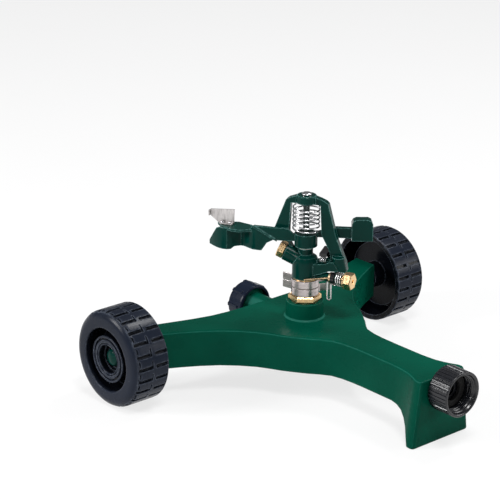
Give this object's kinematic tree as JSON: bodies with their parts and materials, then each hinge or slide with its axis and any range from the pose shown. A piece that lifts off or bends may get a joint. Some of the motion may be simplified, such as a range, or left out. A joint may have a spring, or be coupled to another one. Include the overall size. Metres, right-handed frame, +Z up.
{
  "type": "impulse sprinkler on a wheeled base",
  "caption": "Impulse lawn sprinkler on a low wheeled base: swinging impact arm with a coil spring, brass nozzles, adjustable trip collars, swivel hose inlet and capped outlet.",
  "frame": {"origin": "middle of the object's box on the ground under it", "axes": "+Z up; -Y towards the hose inlet; +X along the wheel axles, to the right when looking along +Y. The head's turning axis is X = 0, Y = 0.03785 m"},
  "size_m": [0.3026, 0.2587, 0.151],
  "materials": {
    "base_green": "satin moulded green",
    "head_green": "satin moulded green",
    "arm_green": "satin moulded green",
    "pin_green": "satin moulded green",
    "wheel_black": "satin moulded black",
    "nut_black": "satin moulded black",
    "cap_black": "satin moulded black",
    "pipe_black": "plain moulded black",
    "lever_black": "satin moulded black",
    "washer_rubber": "matt",
    "cap_washer_rubber": "matt",
    "bearing_rubber": "matt",
    "bearing_nylon": "plain white",
    "arm_nylon": "plain white",
    "spud_black": "plain moulded black",
    "bearing_brass": "machined, bright",
    "tube_brass": "machined",
    "nozzle_brass": "machined, bright",
    "spreader_brass": "machined, bright",
    "rod_brass": "drawn",
    "collar_steel": "rolled strip",
    "plate_steel": "rolled sheet",
    "rivet_steel": "bright",
    "pin_steel": "bright",
    "arm_spring_steel": "bright drawn wire",
    "bearing_spring_steel": "drawn wire",
    "trip_wire_steel": "drawn wire",
    "trip_spring_steel": "drawn wire"
  },
  "bodies": {
    "base": {"base_body": "base_green", "water_tube": "pipe_black", "inlet_spud": "spud_black", "bearing_nut": "bearing_brass", "axle_pin_left": "pin_green", "axle_pin_right": "pin_green"},
    "inlet_swivel": {"inlet_nut": "nut_black", "hose_washer": "washer_rubber"},
    "cap_washer": {"end_cap_washer": "cap_washer_rubber"},
    "outlet_cap": {"end_cap": "cap_black"},
    "left_wheel": {"wheel_left": "wheel_black"},
    "right_wheel": {"wheel_right": "wheel_black"},
    "lower_collar": {"trip_collar_lower": "collar_steel"},
    "upper_collar": {"trip_collar_upper": "collar_steel"},
    "head": {"head_body": "head_green", "bearing_tube": "tube_brass", "bearing_washer_lower": "bearing_rubber", "bearing_washer_upper": "bearing_nylon", "bearing_spring": "bearing_spring_steel", "range_nozzle": "nozzle_brass", "spreader_nozzle": "spreader_brass", "fulcrum_pin": "pin_steel", "arm_washer": "arm_nylon", "arm_spring": "arm_spring_steel", "trip_spring": "trip_spring_steel"},
    "arm": {"impact_arm": "arm_green", "deflector_plate": "plate_steel", "deflector_rivet_1": "rivet_steel", "deflector_rivet_2": "rivet_steel"},
    "trip": {"trip_lever": "lever_black", "trip_rod": "rod_brass", "trip_wire": "trip_wire_steel"}
  },
  "joints": [
    {"name": "head_turn", "type": "hinge", "parent": "base", "child": "head", "pos_m": [0, 0.03785, 0.08], "axis": [0, 0, 1], "range_deg": [-188, 33]},
    {"name": "arm_swing", "type": "hinge", "parent": "head", "child": "arm", "pos_m": [0, 0.03785, 0.114], "axis": [0, 0, 1], "range_deg": [0, 100], "stiffness_Nm_per_rad": 0.02, "springref_deg": -17.19},
    {"name": "trip_swing", "type": "hinge", "parent": "head", "child": "trip", "pos_m": [0.00821, 0.0153, 0.0863], "axis": [0.342, -0.9397, 0], "range_deg": [-8, 8]},
    {"name": "lower_collar_turn", "type": "hinge", "parent": "base", "child": "lower_collar", "pos_m": [0, 0.03785, 0.073], "axis": [0, 0, 1], "range_deg": [-33, 185]},
    {"name": "upper_collar_turn", "type": "hinge", "parent": "base", "child": "upper_collar", "pos_m": [0, 0.03785, 0.079], "axis": [0, 0, 1], "range_deg": [-47, 185]},
    {"name": "wheel_left_roll", "type": "hinge", "parent": "base", "child": "left_wheel", "pos_m": [-0.135, 0.09185, 0.0375], "axis": [1, 0, 0], "continuous": true},
    {"name": "wheel_right_roll", "type": "hinge", "parent": "base", "child": "right_wheel", "pos_m": [0.135, 0.09185, 0.0375], "axis": [1, 0, 0], "continuous": true},
    {"name": "inlet_swivel_turn", "type": "hinge", "parent": "base", "child": "inlet_swivel", "pos_m": [0, -0.12015, 0.04207], "axis": [0, 1, 0], "continuous": true},
    {"name": "cap_slide", "type": "slide", "parent": "base", "child": "cap_washer", "axis": [0, 1, 0], "range_m": [0, 0.0088]},
    {"name": "cap_turn", "type": "hinge", "parent": "cap_washer", "child": "outlet_cap", "pos_m": [0, 0.10385, 0.04207], "axis": [0, 1, 0], "range_deg": [0, 1440]}
  ],
  "couplings": [
    {"joint": "cap_turn", "follows": "cap_slide", "rad_per_m": 2856}
  ]
}
